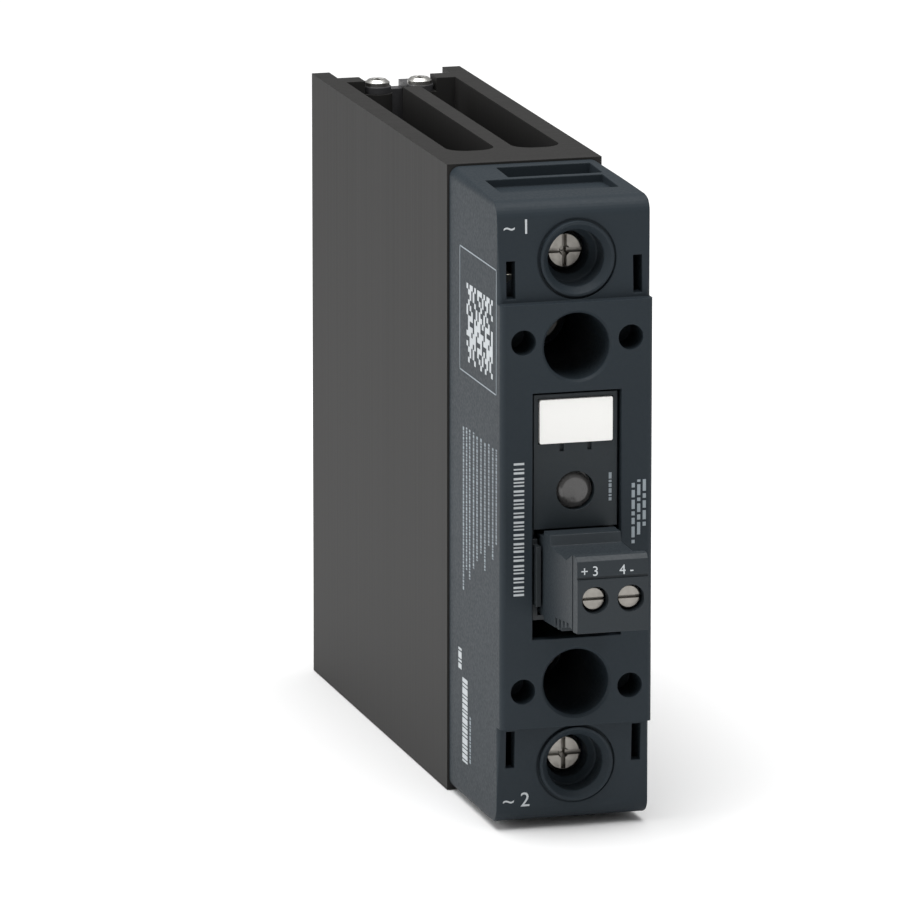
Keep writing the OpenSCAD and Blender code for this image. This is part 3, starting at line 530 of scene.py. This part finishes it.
def flat_boxes(name, boxes, facing):
    """Each box is ((low, high) across, (low, high) in z), on the front or on the left side."""
    bpy.ops.object.select_all(action="DESELECT")
    bpy.ops.mesh.primitive_plane_add(size=MM, location=(0, 0, 0))
    piece = bpy.context.object
    piece.name = name
    bpy.ops.object.mode_set(mode="EDIT")
    bpy.ops.mesh.delete(type="VERT")
    for (a0, a1), (z0, z1) in boxes:
        across, up = (a0 + a1) / 2, (z0 + z1) / 2
        front = facing == "front"
        place = (across, mark_y, up) if front else (side_x, across, up)
        wide, tall = (a1 - a0) / MM, (z1 - z0) / MM
        growth = (wide, 1, tall) if front else (1, wide, tall)
        bpy.ops.mesh.primitive_plane_add(size=MM, location=place,
            rotation=FACE_FRONT if front else FACE_LEFT)
        bpy.ops.transform.resize(value=growth, center_override=place)
    bpy.ops.object.mode_set(mode="OBJECT")
    return piece


def bars(name, rows, facing, beat=0):
    """Each row is (across, low z, high z, width of the bars, length scale)."""
    boxes = []
    for across, low, high, width, stretch in rows:
        z = low
        while z < high - 0.2 * MM:
            long = min(RHYTHM[beat % len(RHYTHM)] * stretch * MM, high - z)
            boxes.append(((across - width / 2, across + width / 2), (z, z + long)))
            z += long + max(0.45 * stretch, 0.18) * MM
            beat += 1
    return flat_boxes(name, boxes, facing)


def strokes(name, across, low, high, width, facing):
    """A column of thin bars of uneven thickness, the way a strip code looks, with no data."""
    boxes = []
    z = low
    for beat in range(200):
        thick = (0.20 + 0.10 * (RHYTHM[beat % len(RHYTHM)] > 1.2)) * MM
        if z + thick > high:
            break
        boxes.append(((across - width / 2, across + width / 2), (z, z + thick)))
        z += thick + (0.28 + 0.22 * (beat * 7 % 5 > 2)) * MM
    return flat_boxes(name, boxes, facing)


lay_ink(strokes("front_bars", -8.35 * MM, 34.0 * MM, 53.0 * MM, 1.5 * MM, "front"), "housing",
    "Y", "relay")
lens_rows = [(5.0 * MM, 46.6 * MM, 50.6 * MM, 0.4 * MM, 0.4)]
lay_ink(bars("lens_bars", lens_rows, "front", 5), "front_insert", "Y", "relay", faint_ink)
badge_rows = [(8.1 * MM + i * 0.8 * MM, 40.5 * MM + i * 1.2 * MM, 49.5 * MM, 0.45 * MM, 0.8)
    for i in range(3)]
lay_ink(bars("badge_bars", badge_rows, "front", 3), "housing", "Y", "relay", faint_ink)

# %% [markdown]
# ## Print on the left side
#
# The side has a framed block, several fine rows and a bolder strip near the bottom. The
# block is a field of uneven cells inside a thin frame. A short formula of column and row
# decides which cells are filled, so the field carries no data.

# %% Checkered block, frame and rows on the side
seam = case_high.y
block_y, block_z = (seam - 22.3 * MM, seam - 9.0 * MM), (63.9 * MM, 75.0 * MM)
frame_y, frame_z = (seam - 24.2 * MM, seam - 5.4 * MM), (62.0 * MM, 79.7 * MM)
line = 0.18 * MM
outline = [((frame_y[0], frame_y[0] + line), frame_z), ((frame_y[1] - line, frame_y[1]), frame_z),
    (frame_y, (frame_z[0], frame_z[0] + line)), (frame_y, (frame_z[1] - line, frame_z[1]))]
lay_ink(flat_boxes("side_frame", outline, "left"), "housing", "X", "relay", faint_ink)
COLUMNS, ROWS = 17, 15
cell_y = (block_y[1] - block_y[0]) / COLUMNS
cell_z = (block_z[1] - block_z[0]) / ROWS
checks = [((block_y[0] + c * cell_y, block_y[0] + (c + 1) * cell_y),
    (block_z[0] + r * cell_z, block_z[0] + (r + 1) * cell_z))
    for c in range(COLUMNS) for r in range(ROWS) if (c * c * 7 + r * r * 5 + c * r * 3) % 11 < 5]
lay_ink(flat_boxes("side_checks", checks, "left"), "housing", "X", "relay", ink)

fine_rows = [(seam - y * MM, low * MM, 54.4 * MM, 0.62 * MM, 0.22)
    for y, low in ((7.4, 30.8), (9.0, 34.0), (10.6, 33.0), (12.6, 35.0), (14.4, 36.5),
        (16.4, 38.0), (18.4, 36.0), (20.4, 40.0), (22.4, 38.5), (24.2, 41.0))]
lay_ink(bars("side_rows", fine_rows, "left"), "housing", "X", "relay", faint_ink)
strip_rows = [(seam - 5.6 * MM, 19.0 * MM, 22.0 * MM, 1.6 * MM, 0.5),
    (seam - 8.2 * MM, 6.0 * MM, 18.4 * MM, 2.6 * MM, 0.42)]
lay_ink(bars("side_strip", strip_rows, "left", 2), "housing", "X", "relay", ink)
under_rows = [(seam - 10.9 * MM, 6.5 * MM, 13.5 * MM, 0.6 * MM, 0.3)]
lay_ink(bars("side_under", under_rows, "left", 4), "housing", "X", "relay", faint_ink)

# %% [markdown]
# ## The latch's spring
#
# A coil spring holds the rail latch up. When a tool pulls the latch down, the foot of the
# coil stays on its peg and the coil gets shorter. A measured part keeps its shape, so a new
# spring takes its place. It is wound as on a lathe: a small ring, the section of the wire, is swept
# along a screw.

# %% Wind the spring
COILS = 8
STEPS_PER_COIL = 30
SECTION_SIDES = 14
WIRE_R = 0.2 * MM
coil_low, coil_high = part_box("latch_spring")
coil_r = (coil_high.x - coil_low.x) / 2 - WIRE_R
coil_y = (coil_low.y + coil_high.y) / 2
coil_height = coil_high.z - coil_low.z
bpy.ops.object.select_all(action="DESELECT")
bpy.ops.mesh.primitive_circle_add(vertices=SECTION_SIDES, radius=WIRE_R,
    location=(coil_r, 0, 0), rotation=FACE_FRONT)
coil = bpy.context.object
coil.name = "latch_coil"
bake_place(coil)
wind = coil.modifiers.new("wind", "SCREW")
wind.angle = 2 * math.pi
wind.steps = STEPS_PER_COIL
wind.render_steps = STEPS_PER_COIL
wind.iterations = COILS
wind.screw_offset = (coil_height - 2 * WIRE_R) / COILS
use_modifiers(coil)
bpy.ops.object.mode_set(mode="EDIT")
bpy.ops.mesh.select_all(action="SELECT")
bpy.ops.mesh.fill_holes(sides=SECTION_SIDES)
bpy.ops.mesh.select_all(action="SELECT")
bpy.ops.mesh.normals_make_consistent(inside=False)
bpy.ops.object.mode_set(mode="OBJECT")
bpy.ops.object.shade_smooth_by_angle(angle=math.radians(40))
coil.location = (0, coil_y, coil_low.z + WIRE_R)
bake_place(coil)
coil.data.materials.append(finishes["spring_steel"])
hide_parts("latch_spring")
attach(coil, "relay")
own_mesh(coil)
report(coil)

# %% [markdown]
# ## Floor and light
#
# The relay stands on a plain pale floor under soft light. A large lamp on the left lights
# the flat side of the heatsink, and a broad one above whitens the floor and lights the top
# and the front. Small lamps would give hard shadows, which hide the shape of a dark object.

# %% Floor
bpy.ops.object.select_all(action="DESELECT")
bpy.ops.mesh.primitive_plane_add(size=8, location=(0, 0, cad_low.z - 0.0001))
floor = bpy.context.object
floor.name = "floor"
pale = bpy.data.materials.new("pale_floor")
pale.use_nodes = True
pale_shader = pale.node_tree.nodes["Principled BSDF"]
pale_shader.inputs["Base Color"].default_value = grey(0.92)
pale_shader.inputs["Roughness"].default_value = 0.8
floor.data.materials.append(pale)
print("floor at z:", floor.location.z)

# %% World and lamps
RELAY_MIDDLE = Vector((0, 0, 0.045))
world = bpy.data.worlds.new("studio")
bpy.context.scene.world = world
world.use_nodes = True
world.node_tree.nodes["Background"].inputs["Color"].default_value = grey(1.0)
world.node_tree.nodes["Background"].inputs["Strength"].default_value = 0.36


def lamp(name, place, size, power):
    bpy.ops.object.light_add(type="AREA", location=place)
    light = bpy.context.object
    light.name = name
    light.data.size = size
    light.data.energy = power
    aim = RELAY_MIDDLE - Vector(place)
    light.rotation_euler = aim.to_track_quat("-Z", "Y").to_euler()


lamp("left_lamp", (-1.35, 0.0, 0.5), 0.9, 7.5)
lamp("top_lamp", (-0.1, -0.2, 1.55), 1.5, 34.0)
print("lamps: left and top")

# %% [markdown]
# ## Camera
#
# The camera stands a little to the left and above, about 1.4 m away, with a long lens. From
# that far the edges that run to the back hardly draw together, so the relay looks as slim
# as it is. The plain Standard view keeps the white of the floor white.

# %% Camera
EYE = (-0.37179, -1.31402, 0.34685)
LOOK_UP, LOOK_ACROSS = math.radians(77.536), math.radians(-15.548)
LONG_LENS = 392.95
bpy.ops.object.camera_add(location=EYE, rotation=(LOOK_UP, 0, LOOK_ACROSS))
camera = bpy.context.object
camera.name = "camera"
camera.data.lens = LONG_LENS
camera.data.sensor_width = 36
camera.data.clip_start = 0.05
camera.data.clip_end = 20
bpy.context.scene.camera = camera
bpy.context.scene.view_settings.view_transform = "Standard"
print("lens:", camera.data.lens)
